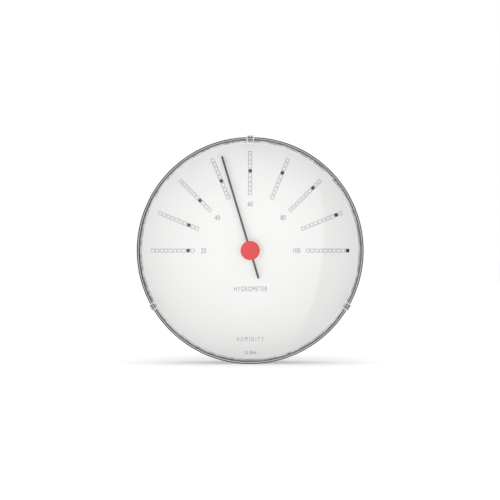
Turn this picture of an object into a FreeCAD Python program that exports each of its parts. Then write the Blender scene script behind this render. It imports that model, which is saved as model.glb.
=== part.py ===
import FreeCAD, Part
import Sketcher
import math
import os
import re

# A wall-hung dial hygrometer in millimetres. +Z is up, the dial faces -Y, and the origin is on the
# pointer's axis in the plane of the wall. "Depth" is the distance in front of the wall, so y = -depth.

SIZES = {
    # Case
    "case_radius": 60.0,
    "rim_wall": 1.5,
    "lip_land": 0.34,
    "case_wall": 2.0,
    "back_corner": 6.0,
    "ledge_width": 3.5,
    "ledge_thick": 1.8,
    "flange_inner": 44.0,
    "flange_outer": 50.0,
    "flange_depth": 3.6,
    "flange_thick": 2.0,
    "air_notch_width": 24.0,
    "air_notch_depth": 1.2,
    # Dial and glass
    "dial_depth": 32.0,
    "dial_thick": 1.0,
    "dial_hole": 1.8,
    "gasket_thick": 0.4,
    "gasket_width": 1.0,
    "glass_gap": 0.15,
    "glass_thick": 1.6,
    "glass_edge": 0.8,
    "glass_rise": 14.0,
    # Clips that hold the glass
    "clip_width": 3.8,
    "clip_thick": 0.7,
    "clip_reach": 3.8,
    "clip_leg": 8.5,
    "clip_round": 0.2,
    "clip_screw_drop": 4.7,
    "clip_screw_radius": 0.8,
    "clip_head_radius": 1.2,
    "clip_head_height": 0.35,
    # Cover, hanger and vents
    "cover_thick": 2.0,
    "cover_gap": 0.3,
    "cover_screw_circle": 47.0,
    "cover_screw_radius": 1.2,
    "cover_head_radius": 2.2,
    "vent_width": 2.4,
    "vent_length": 18.0,
    "vent_span": 44.0,
    "vent_count": 9.0,
    "hanger_thick": 1.0,
    "hanger_width": 24.0,
    "hanger_low": 20.0,
    "hanger_high": 41.0,
    "keyhole_height": 27.5,
    "keyhole_radius": 4.5,
    "keyhole_slot": 2.1,
    "keyhole_rise": 7.0,
    "cup_room": 5.0,
    "cup_wall": 1.5,
    # Movement
    "plate_depth": 26.8,
    "plate_thick": 1.2,
    "bridge_depth": 19.8,
    "bridge_thick": 1.2,
    "pillar_radius": 2.0,
    "arbor_radius": 0.75,
    "arbor_play": 0.04,
    "bush_radius": 2.0,
    "press_gap": 0.01,
    # Gearing
    "gear_module": 0.4,
    "pinion_teeth": 12.0,
    "sector_teeth": 96.0,
    "pressure_angle": 20.0,
    "profile_shift": 0.3,
    "backlash": 0.06,
    "gear_thick": 1.0,
    "sector_half_angle": 22.5,
    # Crank, hair and adjuster
    "crank_length": 3.6,
    "hair_depth": 15.0,
    "hair_radius": 0.3,
    "anchor_x": -40.0,
    "anchor_arm": 7.0,
    # Pointer
    "pointer_angle": 106.7,
    "pointer_reach": 52.0,
    "pointer_tail": 15.4,
    "pointer_width": 1.0,
    "pointer_thick": 0.4,
    "boss_radius": 6.15,
    "cap_radius": 5.05,
    "cap_height": 1.0,
    "cap_hole": 0.6,
}

# Sizes that follow from the ones above, each written as a formula.
FOLLOWS = {
    "rim_inner": "case_radius - rim_wall",
    "glass_radius": "rim_inner - glass_gap",
    "dial_front": "dial_depth + dial_thick",
    "glass_seat": "dial_front + gasket_thick",
    "glass_ball": "(glass_radius ^ 2 + glass_rise ^ 2) / (2 * glass_rise)",
    "glass_centre": "glass_seat + glass_edge + glass_rise - glass_ball",
    "clip_tip": "case_radius - clip_reach",
    "clip_under": "glass_centre + sqrt(glass_ball ^ 2 - clip_tip ^ 2) + 0.03",
    "lip_depth": "clip_under - 0.6",
    "clip_screw_depth": "clip_under - clip_screw_drop",
    "cover_depth": "flange_depth - cover_thick",
    "hanger_depth": "cover_depth - hanger_thick",
    "cup_depth": "cover_depth + cup_room",
    "plate_front": "plate_depth + plate_thick",
    "bridge_front": "bridge_depth + bridge_thick",
    "sector_x": "gear_module * (pinion_teeth + sector_teeth) / 2",
    "gear_depth": "bridge_front + 2.6",
    "crank_depth": "hair_depth + 1.6",
    "anchor_z": "anchor_arm - crank_length",
    "boss_depth": "dial_front + 0.8",
    "pointer_depth": "boss_depth + 0.8",
    "cap_depth": "pointer_depth + pointer_thick",
}

NUTS_AND_FEET = [("-30", "14"), ("24", "14"), ("0", "-14")]
PILLARS = [("31", "7"), ("31", "-7"), ("-46", "7"), ("-46", "-7")]
ARBORS = [("0", "0"), ("sector_x", "0")]
SECTOR = [("sector_x", "0")]
CENTRE = [("0", "0")]
CRANK_PIN = [("sector_x", "-crank_length")]
ADJUSTER = [("anchor_x", "anchor_z")]
ANCHOR_PIN = [("anchor_x", "-crank_length")]
STOPS = [("sector_x - 10.4", "7.9"), ("sector_x - 9.9", "-8.5")]
RIVETS = [("-10", "hanger_low + 3"), ("10", "hanger_low + 3")]
STUD = [("-6.5", "0")]

doc = FreeCAD.newDocument("hygrometer")
sheet = doc.addObject("Spreadsheet::Sheet", "sizes")
for row, (name, value) in enumerate(SIZES.items(), start=1):
    sheet.set(f"A{row}", name)
    sheet.set(f"B{row}", str(value))
    sheet.setAlias(f"B{row}", name)
doc.recompute()

nodes = []


def bound(words):
    """The words as an expression whose names point at the sheet's cells."""

    def swap(found):
        word = found.group(0)
        if word in FOLLOWS:
            return "(" + bound(FOLLOWS[word]) + ")"
        return "sizes." + word if word in SIZES else word

    return re.sub(r"[a-z][a-z_]*", swap, str(words))


def number(words):
    """The value of the words in millimetres or degrees."""
    return float(doc.sizes.evalExpression(bound(words)))


def new_body(name):
    """A body whose label is the name of its node."""
    body = doc.addObject("PartDesign::Body", name)
    body.Label = name
    nodes.append(body)
    return body


def origin_part(body, role):
    """One of the body's own origin planes or axes."""
    return next(f for f in body.Origin.OriginFeatures if f.Role == role)


def new_sketch(body, plane, offset="0"):
    """An empty sketch on an origin plane. The XZ plane faces forwards, so its offset is a depth."""
    sketch = body.newObject("Sketcher::SketchObject", body.Name + "_sketch")
    sketch.AttachmentSupport = [(origin_part(body, plane), "")]
    sketch.MapMode = "FlatFace"
    sketch.setExpression("AttachmentOffset.Base.z", bound(offset))
    return sketch


def place(sketch, geometry, point, spot):
    """Bind one point of a sketch to a spot given in words."""
    for kind, words in zip(("DistanceX", "DistanceY"), spot):
        distance = Sketcher.Constraint(kind, -1, 1, geometry, point, number(words))
        index = sketch.addConstraint(distance)
        sketch.setExpression(f"Constraints[{index}]", bound(words))


def outline(sketch, spots):
    """A closed polygon through the spots."""
    values = [FreeCAD.Vector(number(u), number(v), 0) for u, v in spots]
    lines = []
    for start, end in zip(values, values[1:] + values[:1]):
        lines.append(sketch.addGeometry(Part.LineSegment(start, end), False))
    for line, following in zip(lines, lines[1:] + lines[:1]):
        sketch.addConstraint(Sketcher.Constraint("Coincident", line, 2, following, 1))
    for line, spot in zip(lines, spots):
        place(sketch, line, 1, spot)


def circles(sketch, spots, radius):
    """A circle of one radius at each spot."""
    for spot in spots:
        centre = FreeCAD.Vector(number(spot[0]), number(spot[1]), 0)
        ring = Part.Circle(centre, FreeCAD.Vector(0, 0, 1), number(radius))
        circle = sketch.addGeometry(ring, False)
        index = sketch.addConstraint(Sketcher.Constraint("Radius", circle, number(radius)))
        sketch.setExpression(f"Constraints[{index}]", bound(radius))
        place(sketch, circle, 3, spot)


def pad(body, sketch, length, midplane=False):
    """Add material along the sketch's normal."""
    feature = body.newObject("PartDesign::Pad", body.Name + "_pad")
    feature.Profile = sketch
    feature.Midplane = midplane
    feature.setExpression("Length", bound(length))
    return feature


def pocket(body, sketch, length=None, forward=True):
    """Cut along the sketch's normal, or against it, by a length or through everything."""
    feature = body.newObject("PartDesign::Pocket", body.Name + "_pocket")
    feature.Profile = sketch
    feature.Reversed = forward
    if length is None:
        feature.Type = "ThroughAll"
    else:
        feature.setExpression("Length", bound(length))
    return feature


def spin(body, profile):
    """Revolve a closed profile of (radius, depth) spots about the pointer's axis."""
    sketch = new_sketch(body, "XY_Plane")
    outline(sketch, [(radius, f"-({depth})") for radius, depth in profile])
    feature = body.newObject("PartDesign::Revolution", body.Name + "_turned")
    feature.Profile = sketch
    feature.ReferenceAxis = (sketch, ["V_Axis"])
    feature.Angle = 360
    return feature


def drill(body, spots, radius, depth="-1", length=None):
    """Round holes from a depth towards the front."""
    sketch = new_sketch(body, "XZ_Plane", depth)
    circles(sketch, spots, radius)
    return pocket(body, sketch, length)


def slots(body, spots, half_length, half_width, depth, length):
    """A straight slot at each spot, cut from a depth towards the front."""
    sketch = new_sketch(body, "XZ_Plane", depth)
    for x, z in spots:
        corners = []
        for side, end in ((-1, -1), (1, -1), (1, 1), (-1, 1)):
            corners.append((f"{x} + {side} * ({half_length})", f"{z} + {end} * ({half_width})"))
        outline(sketch, corners)
    return pocket(body, sketch, length)


def stack(name, spots, steps):
    """Round pieces at the spots, each a stack of (radius, from depth, to depth) steps."""
    body = new_body(name)
    for radius, start, end in steps:
        sketch = new_sketch(body, "XZ_Plane", start)
        circles(sketch, spots, radius)
        pad(body, sketch, f"({end}) - ({start})")
    return body


def around(body, features, count):
    """Repeat features evenly about the pointer's axis."""
    pattern = body.newObject("PartDesign::PolarPattern", body.Name + "_pattern")
    pattern.Originals = features
    pattern.Axis = (origin_part(body, "Y_Axis"), [""])
    pattern.Occurrences = count
    pattern.Angle = 360
    body.Tip = pattern
    return pattern


def edges_where(shape, wanted):
    """Names of the edges that a test picks out."""
    return [f"Edge{i}" for i, edge in enumerate(shape.Edges, start=1) if wanted(edge)]


def eased(body, feature, kind, size_name, size, wanted):
    """Ease the edges of a feature that a test picks out, with a fillet or a chamfer."""
    doc.recompute()
    names = edges_where(feature.Shape, wanted)
    if not names:
        raise RuntimeError(f"{body.Label}: no edge to ease")
    easing = body.newObject("PartDesign::" + kind, body.Name + "_" + kind.lower())
    easing.Base = (feature, names)
    easing.setExpression(size_name, bound(size))
    return easing


def rounded(body, feature, radius, wanted):
    """Round the edges that a test picks out."""
    return eased(body, feature, "Fillet", "Radius", radius, wanted)


def bevelled(body, feature, size, wanted):
    """Cut a 45 degree bevel on the edges that a test picks out."""
    return eased(body, feature, "Chamfer", "Size", size, wanted)


def ring_at(radius, depth):
    """A test for the circular edge of a radius at a depth."""

    def wanted(edge):
        return (
            isinstance(edge.Curve, Part.Circle)
            and abs(edge.Curve.Radius - number(radius)) < 1e-4
            and abs(edge.Curve.Center.y + number(depth)) < 1e-4
        )

    return wanted


def along_y(radius_from_axis):
    """A test for straight edges that run front to back, further than a radius from the pointer's axis."""

    def wanted(edge):
        start, end = edge.Vertexes[0].Point, edge.Vertexes[-1].Point
        straight = math.hypot(end.x - start.x, end.z - start.z) < 1e-6 and abs(end.y - start.y) > 1e-6
        return straight and math.hypot(start.x, start.z) > radius_from_axis

    return wanted


def turn(body, degrees):
    """Turn a body anticlockwise, as seen from the front, about the pointer's axis."""
    body.Placement = FreeCAD.Placement(
        FreeCAD.Vector(), FreeCAD.Rotation(FreeCAD.Vector(0, -1, 0), number(degrees))
    )
    body.setExpression("Placement.Rotation.Angle", bound(degrees))


# ---------------------------------------------------------------- case

case = new_body("case_shell")
ledge_inner = "rim_inner - ledge_width"
wall_inner = "case_radius - case_wall"
ledge_back = "dial_depth - ledge_thick"
floor_front = "flange_depth + flange_thick"
shell = spin(
    case,
    [
        ("flange_outer", "0"),
        ("case_radius", "0"),
        ("case_radius", "lip_depth"),
        ("rim_inner", "lip_depth"),
        ("rim_inner", "dial_depth"),
        (ledge_inner, "dial_depth"),
        (ledge_inner, ledge_back),
        (wall_inner, f"{ledge_back} - ({wall_inner}) + ({ledge_inner})"),
        (wall_inner, floor_front),
        ("flange_inner", floor_front),
        ("flange_inner", "flange_depth"),
        ("flange_outer", "flange_depth"),
    ],
)
outer_round = rounded(case, shell, "back_corner", ring_at("case_radius", "0"))
inner_round = rounded(case, outer_round, "back_corner - 2", ring_at(wall_inner, floor_front))


def lip_edge(edge):
    return ring_at("case_radius", "lip_depth")(edge) or ring_at("rim_inner", "lip_depth")(edge)


bevelled(case, inner_round, "(rim_wall - lip_land) / 2", lip_edge)
cover_hole_sketch = new_sketch(case, "XZ_Plane", "-1")
circles(cover_hole_sketch, [("0", "cover_screw_circle")], "cover_screw_radius + press_gap")
around(case, [pocket(case, cover_hole_sketch, "flange_depth + flange_thick + 2")], 3)
clip_hole_sketch = new_sketch(case, "XY_Plane", "case_radius - 10")
circles(clip_hole_sketch, [("0", "-clip_screw_depth")], "clip_screw_radius + press_gap")
around(case, [pocket(case, clip_hole_sketch, "20")], 3)
notch_sketch = new_sketch(case, "XZ_Plane", "-1")
half_notch = "air_notch_width / 2"
outline(
    notch_sketch,
    [
        (f"-{half_notch}", "-case_radius - 5"),
        (half_notch, "-case_radius - 5"),
        (half_notch, "-flange_outer + 5"),
        (f"-{half_notch}", "-flange_outer + 5"),
    ],
)
pocket(case, notch_sketch, "air_notch_depth + 1")

cover = stack("back_cover", CENTRE, [("flange_outer - cover_gap", "cover_depth", "flange_depth")])
cup_sketch = new_sketch(cover, "XZ_Plane", "cover_depth + 0.5")
cup_half = "keyhole_radius + 1.5 + cup_wall"
cup_low = "keyhole_height - keyhole_radius - 1.5 - cup_wall"
cup_high = "keyhole_height + keyhole_rise + 4 + cup_wall"
outline(
    cup_sketch,
    [
        (f"-({cup_half})", cup_low),
        (cup_half, cup_low),
        (cup_half, cup_high),
        (f"-({cup_half})", cup_high),
    ],
)
pad(cover, cup_sketch, "cup_room + cup_wall - 0.5")
well_sketch = new_sketch(cover, "XZ_Plane", "cover_depth - 1")
outline(
    well_sketch,
    [
        (f"-({cup_half} - cup_wall)", f"{cup_low} + cup_wall"),
        (f"{cup_half} - cup_wall", f"{cup_low} + cup_wall"),
        (f"{cup_half} - cup_wall", f"{cup_high} - cup_wall"),
        (f"-({cup_half} - cup_wall)", f"{cup_high} - cup_wall"),
    ],
)
pocket(cover, well_sketch, "cup_room + 1")
drill(cover, [("anchor_x", "anchor_z")], "3.2")
drill(cover, RIVETS, "1.0 + press_gap")
cover_screw_holes = drill(cover, [("0", "cover_screw_circle")], "cover_screw_radius + 0.15")
around(cover, [cover_screw_holes], 3)
vent_sketch = new_sketch(cover, "XZ_Plane", "-1")
outline(
    vent_sketch,
    [
        ("-vent_span / 2 - vent_width / 2", "-34"),
        ("-vent_span / 2 + vent_width / 2", "-34"),
        ("-vent_span / 2 + vent_width / 2", "-34 + vent_length"),
        ("-vent_span / 2 - vent_width / 2", "-34 + vent_length"),
    ],
)
vent = pocket(cover, vent_sketch)
vents = cover.newObject("PartDesign::LinearPattern", "vents")
vents.Originals = [vent]
vents.Direction = (origin_part(cover, "X_Axis"), [""])
vents.setExpression("Length", bound("vent_span"))
vents.setExpression("Occurrences", bound("vent_count"))
cover.Tip = vents

cover_screws = new_body("cover_screws")
screw_steps = [
    ("cover_head_radius", "cover_depth - 1", "cover_depth"),
    ("cover_screw_radius", "cover_depth", floor_front),
]
screw_features = []
for radius, start, end in screw_steps:
    screw_sketch = new_sketch(cover_screws, "XZ_Plane", start)
    circles(screw_sketch, [("0", "cover_screw_circle")], radius)
    screw_features.append(pad(cover_screws, screw_sketch, f"{end} - ({start})"))
for half_length, half_width in (("1.5", "0.3"), ("0.3", "1.5")):
    spot = [("0", "cover_screw_circle")]
    screw_features.append(slots(cover_screws, spot, half_length, half_width, "cover_depth - 2", "1.6"))
around(cover_screws, screw_features, 3)

hanger = new_body("hanger_plate")
hanger_sketch = new_sketch(hanger, "XZ_Plane", "hanger_depth")
outline(
    hanger_sketch,
    [
        ("-hanger_width / 2", "hanger_low"),
        ("hanger_width / 2", "hanger_low"),
        ("hanger_width / 2", "hanger_high"),
        ("-hanger_width / 2", "hanger_high"),
    ],
)
rounded(hanger, pad(hanger, hanger_sketch, "hanger_thick"), "2", along_y(0))
drill(hanger, [("0", "keyhole_height")], "keyhole_radius")
drill(hanger, [("0", "keyhole_height + keyhole_rise")], "keyhole_slot")
slots(
    hanger,
    [("0", "keyhole_height + keyhole_rise / 2")],
    "keyhole_slot",
    "keyhole_rise / 2",
    "-1",
    "hanger_depth + hanger_thick + 2",
)
drill(hanger, RIVETS, "1.0 + press_gap")
stack(
    "hanger_rivets",
    RIVETS,
    [
        ("1.8", "hanger_depth - 0.4", "hanger_depth"),
        ("1.0", "hanger_depth", "flange_depth"),
        ("1.8", "flange_depth", "flange_depth + 0.5"),
    ],
)

# ---------------------------------------------------------------- dial, glass and clips

stack("dial_plate", CENTRE, [("glass_radius", "dial_depth", "dial_front")])
drill(doc.dial_plate, CENTRE, "dial_hole")

gasket = stack("glass_gasket", CENTRE, [("glass_radius", "dial_front", "glass_seat")])
drill(gasket, CENTRE, "glass_radius - gasket_width")


def ball(name, radius):
    """A sphere about the dome's centre."""
    sphere = doc.addObject("Part::Sphere", name)
    sphere.setExpression("Radius", bound(radius))
    sphere.setExpression("Placement.Base.y", bound("-glass_centre"))
    return sphere


glass_wall = doc.addObject("Part::Cut", "glass_wall")
glass_wall.Base = ball("glass_outside", "glass_ball")
glass_wall.Tool = ball("glass_inside", "glass_ball - glass_thick")
glass_blank = doc.addObject("Part::Cylinder", "glass_blank")
glass_blank.Placement.Rotation = FreeCAD.Rotation(FreeCAD.Vector(1, 0, 0), 90)
glass_blank.setExpression("Placement.Base.y", bound("-glass_seat"))
glass_blank.setExpression("Radius", bound("glass_radius"))
glass_blank.setExpression("Height", bound("glass_rise + glass_edge + 5"))
glass = doc.addObject("Part::Common", "glass_dome")
glass.Base = glass_wall
glass.Tool = glass_blank
glass.Label = "glass_dome"
nodes.append(glass)


# The heads of the clips' screws are sunk into the clips' legs.
head_start = "case_radius + 0.04 + clip_thick - clip_head_height"


def glass_clip(name, degrees):
    """A clear clip over the rim at an angle, with its tongue on the glass and its leg on the case."""
    clip = new_body(name)
    sketch = new_sketch(clip, "XY_Plane")
    foot = "case_radius + 0.04"
    outline(
        sketch,
        [
            ("clip_tip", "-clip_under"),
            (foot, "-clip_under"),
            (foot, "-clip_under + clip_leg"),
            (f"{foot} + clip_thick", "-clip_under + clip_leg"),
            (f"{foot} + clip_thick", "-clip_under - clip_thick"),
            ("clip_tip", "-clip_under - clip_thick"),
        ],
    )
    strip = pad(clip, sketch, "clip_width", midplane=True)

    def tongue_corner(edge):
        return along_y(0)(edge) and abs(edge.Vertexes[0].Point.x - number("clip_tip")) < 1e-4

    tongue = rounded(clip, strip, "clip_width / 2 - 0.05", tongue_corner)

    def bend(edge):
        ends = [vertex.Point for vertex in edge.Vertexes]
        corner = (number("case_radius + 0.04 + clip_thick"), -number("clip_under + clip_thick"))
        return all(math.hypot(p.x - corner[0], p.y - corner[1]) < 1e-4 for p in ends)

    bent = rounded(clip, tongue, "0.5", bend)

    def outer_edge(edge):
        depth = number("clip_under + clip_thick")
        reach = number("case_radius + 0.04 + clip_thick")
        ends = [vertex.Point for vertex in edge.Vertexes]
        middle = edge.valueAt((edge.FirstParameter + edge.LastParameter) / 2)
        on_front = all(abs(p.y + depth) < 1e-4 for p in ends + [middle])
        on_leg = all(abs(p.x - reach) < 1e-4 for p in ends + [middle])
        on_bend = math.hypot(middle.x - reach, middle.y + depth) < 0.3 and not (on_front or on_leg)
        ends_bend = abs(middle.x - reach + 0.5) < 1e-4 or abs(middle.y + depth - 0.5) < 1e-4
        across = abs(ends[0].z - ends[-1].z) > number("clip_width") - 0.01
        return (on_front or on_leg or on_bend) and not (across and ends_bend)

    rounded(clip, bent, "clip_round", outer_edge)
    hole_sketch = new_sketch(clip, "YZ_Plane", "case_radius - 3")
    circles(hole_sketch, [("-clip_screw_depth", "0")], "clip_screw_radius + 0.1")
    pocket(clip, hole_sketch, "8")
    recess_sketch = new_sketch(clip, "YZ_Plane", head_start)
    circles(recess_sketch, [("-clip_screw_depth", "0")], "clip_head_radius + 0.1")
    pocket(clip, recess_sketch, "3")
    turn(clip, degrees)
    return clip


glass_clip("glass_clip_top", "90")
glass_clip("glass_clip_right", "330")
glass_clip("glass_clip_left", "210")

clip_screws = new_body("clip_screws")
shank_sketch = new_sketch(clip_screws, "YZ_Plane", "case_radius - 3.5")
circles(shank_sketch, [("-clip_screw_depth", "0")], "clip_screw_radius")
shank = pad(clip_screws, shank_sketch, f"{head_start} - (case_radius - 3.5)")
head_sketch = new_sketch(clip_screws, "YZ_Plane", head_start)
circles(head_sketch, [("-clip_screw_depth", "0")], "clip_head_radius")
head = pad(clip_screws, head_sketch, "clip_head_height")
turn(clip_screws, "90")
around(clip_screws, [shank, head], 3)

# ---------------------------------------------------------------- movement frame

feet = stack(
    "dial_feet",
    NUTS_AND_FEET,
    [
        ("1.2", "plate_depth - 2.4", "plate_front"),
        ("2.0", "plate_front", "dial_depth"),
    ],
)

nuts = new_body("dial_nuts")
nut_sketch = new_sketch(nuts, "XZ_Plane", "plate_depth - 1.6")
for x, z in NUTS_AND_FEET:
    corners = [(f"{x} + 2.3 * cos({60 * k})", f"{z} + 2.3 * sin({60 * k})") for k in range(6)]
    outline(nut_sketch, corners)
pad(nuts, nut_sketch, "1.6")
drill(nuts, NUTS_AND_FEET, "1.2 + press_gap")


def frame_plate(name, left, right, half_height, depth, thick):
    """A flat plate with rounded corners."""
    plate = new_body(name)
    sketch = new_sketch(plate, "XZ_Plane", depth)
    corners = [(left, f"-{half_height}"), (right, f"-{half_height}")]
    corners += [(right, half_height), (left, half_height)]
    outline(sketch, corners)
    rounded(plate, pad(plate, sketch, thick), "4", along_y(0))
    return plate


base = frame_plate("base_plate", "-51", "36", "17.5", "plate_depth", "plate_thick")
drill(base, ARBORS, "bush_radius + press_gap")
drill(base, NUTS_AND_FEET, "1.25")
drill(base, PILLARS, "1.0 + press_gap")
drill(base, STOPS, "0.7 + press_gap")

bridge = frame_plate("bridge_plate", "-50", "35", "11", "bridge_depth", "bridge_thick")
drill(bridge, ARBORS, "bush_radius + press_gap")
drill(bridge, PILLARS, "0.9")
drill(bridge, ADJUSTER, "2.5 + press_gap")
drill(bridge, STUD, "0.5 + press_gap")
slots(bridge, [("-20", "0")], "11", "6", "-1", "bridge_front + 3")

pillars = stack(
    "bridge_pillars",
    PILLARS,
    [("pillar_radius", "bridge_front", "plate_depth"), ("1.0", "plate_depth", "plate_front")],
)
drill(pillars, PILLARS, "0.8 + press_gap", "bridge_front - 1", "4")

bridge_screws = stack(
    "bridge_screws",
    PILLARS,
    [("1.7", "bridge_depth - 0.9", "bridge_depth"), ("0.8", "bridge_depth", "bridge_front + 2.6")],
)
slots(bridge_screws, PILLARS, "2", "0.25", "bridge_depth - 2", "1.5")


def bushes(name, spots, depth, thick, bore, outer="bush_radius"):
    """Bearing bushes pressed into a plate, a little proud of it on both sides."""
    body = stack(name, spots, [(outer, f"{depth} - 0.2", f"{depth} + {thick} + 0.2")])
    drill(body, spots, bore)
    return body


running = "arbor_radius + arbor_play"
bushes("pointer_front_bush", CENTRE, "plate_depth", "plate_thick", running)
bushes("pointer_rear_bush", CENTRE, "bridge_depth", "bridge_thick", running)
bushes("sector_front_bush", SECTOR, "plate_depth", "plate_thick", running)
bushes("sector_rear_bush", SECTOR, "bridge_depth", "bridge_thick", running)
bushes("adjuster_bush", ADJUSTER, "bridge_depth", "bridge_thick", "1.5 + arbor_play", "2.5")
stack("stop_pins", STOPS, [("0.7", "gear_depth - 0.4", "plate_front")])

# ---------------------------------------------------------------- gears


def flank(teeth, shift, side):
    """Points of one tooth flank from root to tip, as (radius, angle from the tooth's middle)."""
    module, pressure = number("gear_module"), math.radians(number("pressure_angle"))
    pitch = module * teeth / 2
    base = pitch * math.cos(pressure)
    thickness = math.pi / 2 + 2 * shift * math.tan(pressure)
    half = thickness / teeth - number("backlash") / 4 / pitch
    root = pitch - module * (1.25 - shift)
    tip = pitch + module * (1 + shift)
    involute = math.tan(pressure) - pressure
    points = []
    for step in range(6):
        radius = max(root, base) + (tip - max(root, base)) * step / 5
        angle = math.acos(base / radius)
        points.append((radius, side * (half + involute - (math.tan(angle) - angle))))
    if root < base:
        points.insert(0, (root, points[0][1]))
    return points


def toothed_edge(teeth, shift, middles):
    """The outline of a row of teeth whose middles are at the angles given, anticlockwise."""
    spots = []
    for middle in middles:
        row = flank(teeth, shift, -1) + flank(teeth, shift, 1)[::-1]
        spots += [(radius, middle + angle) for radius, angle in row]
    return [FreeCAD.Vector(r * math.cos(a), 0, r * math.sin(a)) for r, a in spots]


def gear_blank(spots, depth, thick):
    """A solid with the outline given, from a depth towards the front."""
    face = Part.Face(Part.makePolygon(spots + spots[:1]))
    solid = face.extrude(FreeCAD.Vector(0, -thick, 0))
    solid.translate(FreeCAD.Vector(0, -depth, 0))
    return solid


def bore(radius, x=0.0, z=0.0):
    """A long rod along Y, for cutting a hole."""
    return Part.makeCylinder(radius, 200, FreeCAD.Vector(x, 100, z), FreeCAD.Vector(0, -1, 0))


def shape_node(name, shape, x="0"):
    """A node made straight from a shape, placed along X."""
    feature = doc.addObject("Part::Feature", name)
    feature.Label = name
    feature.Shape = shape
    feature.setExpression("Placement.Base.x", bound(x))
    nodes.append(feature)
    return feature


fit_hole = number("arbor_radius + press_gap")
pinion_count = int(number("pinion_teeth"))
pinion_middles = [2 * math.pi * k / pinion_count for k in range(pinion_count)]
pinion_edge = toothed_edge(pinion_count, number("profile_shift"), pinion_middles)
pinion = gear_blank(pinion_edge, number("gear_depth - 0.2"), number("gear_thick + 0.4"))
shape_node("pointer_pinion", pinion.cut(bore(fit_hole)))

sector_count = number("sector_teeth")
tooth_pitch = 2 * math.pi / sector_count
half_sector = math.radians(number("sector_half_angle"))
teeth_each_side = int((half_sector - tooth_pitch / 4) / tooth_pitch)
sector_middles = [
    math.pi + tooth_pitch * (k + 0.5) for k in range(-teeth_each_side, teeth_each_side)
]
sector_edge = toothed_edge(sector_count, -number("profile_shift"), sector_middles)
root_radius = number("gear_module * (sector_teeth / 2 - 1.25 - profile_shift)")
first_angle, last_angle = math.pi - half_sector, math.pi + half_sector
corners = []
for angle in (first_angle, last_angle):
    corners.append(FreeCAD.Vector(root_radius * math.cos(angle), 0, root_radius * math.sin(angle)))
wedge = [FreeCAD.Vector(0, 0, 0), corners[0]] + sector_edge + [corners[1]]
gear_depth, gear_thick = number("gear_depth"), number("gear_thick")
hub_disc = Part.makeCylinder(3.2, gear_thick, FreeCAD.Vector(0, -gear_depth, 0), FreeCAD.Vector(0, -1, 0))
window = []
for radius, spread in ((6.5, 0.55), (root_radius - 3, 0.75)):
    ends = (-spread, spread) if radius < 10 else (spread, -spread)
    for share in (0, 0.25, 0.5, 0.75, 1):
        angle = math.pi + half_sector * (ends[0] + (ends[1] - ends[0]) * share)
        window.append(FreeCAD.Vector(radius * math.cos(angle), 0, radius * math.sin(angle)))
sector = gear_blank(wedge, gear_depth, gear_thick).fuse(hub_disc).removeSplitter()
sector = sector.cut(gear_blank(window, gear_depth - 1, gear_thick + 2)).cut(bore(fit_hole))
shape_node("sector_gear", sector, "sector_x")

# ---------------------------------------------------------------- pointer

stack("pointer_arbor", CENTRE, [("arbor_radius", "bridge_depth - 0.8", "cap_depth + cap_hole - 0.1")])
collet = stack("hairspring_collet", CENTRE, [("1.6", "bridge_front + 0.5", "gear_depth - 0.2")])
drill(collet, CENTRE, "arbor_radius + press_gap")
boss = stack("pointer_boss", CENTRE, [("boss_radius", "boss_depth", "pointer_depth")])
boss_edge = rounded(boss, boss.Tip, "0.2", ring_at("boss_radius", "pointer_depth"))
drill(boss, CENTRE, "arbor_radius + press_gap")

needle = new_body("pointer_needle")
needle_sketch = new_sketch(needle, "XZ_Plane", "pointer_depth")
outline(
    needle_sketch,
    [
        ("-pointer_tail", "-pointer_width * 0.55"),
        ("pointer_reach", "-pointer_width / 2"),
        ("pointer_reach", "pointer_width / 2"),
        ("-pointer_tail", "pointer_width * 0.55"),
    ],
)
pad(needle, needle_sketch, "pointer_thick")
eye_sketch = new_sketch(needle, "XZ_Plane", "pointer_depth")
circles(eye_sketch, CENTRE, "2.5")
pad(needle, eye_sketch, "pointer_thick")
drill(needle, CENTRE, "arbor_radius + press_gap")
turn(needle, "pointer_angle")

cap = stack("pointer_cap", CENTRE, [("cap_radius", "cap_depth", "cap_depth + cap_height")])
rounded(cap, cap.Tip, "0.4", ring_at("cap_radius", "cap_depth + cap_height"))
drill(cap, CENTRE, "arbor_radius + press_gap", "cap_depth - 1", "1 + cap_hole")

# The hairspring is a flat spiral ribbon between the collet and its stud.
stud = stack(
    "hairspring_stud",
    STUD,
    [("0.5", "bridge_depth", "bridge_front"), ("0.9", "bridge_front", "gear_depth - 0.4")],
)
slots(stud, STUD, "0.25", "2", "bridge_front + 0.8", "1")
spring_turns, spring_points = 4.5, 90
spring_inner, spring_outer = 1.75, 6.5
centres = []
for k in range(spring_points + 1):
    share = k / spring_points
    radius = spring_inner + (spring_outer - spring_inner) * share
    angle = 2 * math.pi * spring_turns * share
    centres.append((radius, angle))
ribbon = []
for side in (-0.06, 0.06):
    edge_points = [((r + side) * math.cos(a), (r + side) * math.sin(a)) for r, a in centres]
    ribbon.append([FreeCAD.Vector(x, 0, z) for x, z in edge_points])
spiral = Part.BSplineCurve()
spiral.interpolate(ribbon[0])
spiral_out = Part.BSplineCurve()
spiral_out.interpolate(ribbon[1])
spring_wire = Part.Wire(
    [
        spiral.toShape(),
        Part.makeLine(ribbon[0][-1], ribbon[1][-1]),
        spiral_out.toShape(),
        Part.makeLine(ribbon[0][0], ribbon[1][0]),
    ]
)
spring_face = Part.Face(spring_wire)
spring = spring_face.extrude(FreeCAD.Vector(0, -0.5, 0))
spring.translate(FreeCAD.Vector(0, -number("bridge_front + 1"), 0))
shape_node("hairspring", spring)

# ---------------------------------------------------------------- sector arbor, crank and hair

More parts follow.
